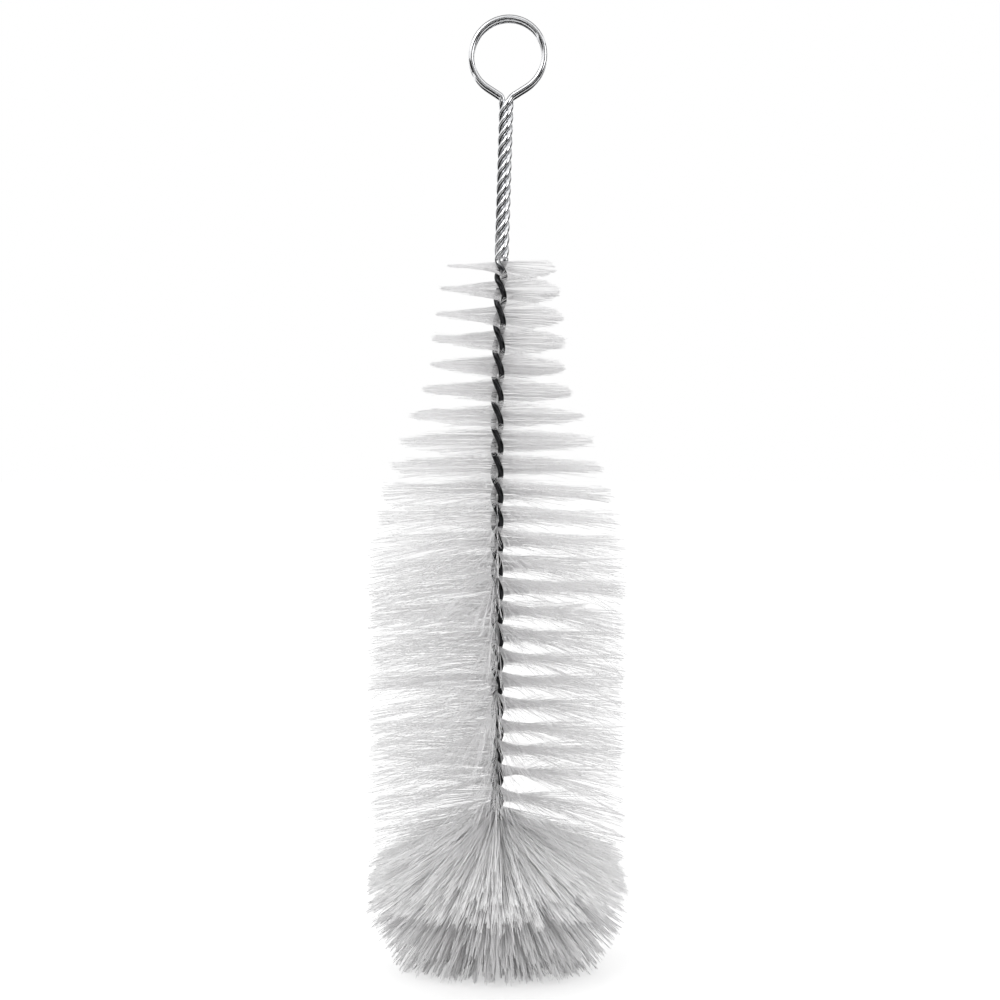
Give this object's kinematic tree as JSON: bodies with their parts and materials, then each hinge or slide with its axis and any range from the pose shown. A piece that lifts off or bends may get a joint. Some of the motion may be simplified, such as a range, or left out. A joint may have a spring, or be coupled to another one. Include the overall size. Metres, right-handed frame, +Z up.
{
  "type": "bottle brush",
  "caption": "Bottle brush on a twisted wire stem, with a four-strand handle, a double hanging ring, a spiral of bristles that narrows to a neck, and a flared end tuft.",
  "frame": {"origin": "on the stem's axis, on the surface that the flat-trimmed end tuft stands on", "axes": "+Z up along the stem towards the handle and ring; the ring faces -Y and +Y"},
  "size_m": [0.09, 0.09, 0.3318],
  "materials": {
    "wire": "bright galvanised steel wire",
    "body_bristle": "pale translucent nylon bristle, satin",
    "head_bristle": "pale grey nylon bristle, packed in locks, satin"
  },
  "bodies": {
    "root": {"stem_wire": "wire", "spiral_fill": "body_bristle", "skirt_tuft": "head_bristle", "end_tuft": "head_bristle"}
  },
  "joints": []
}
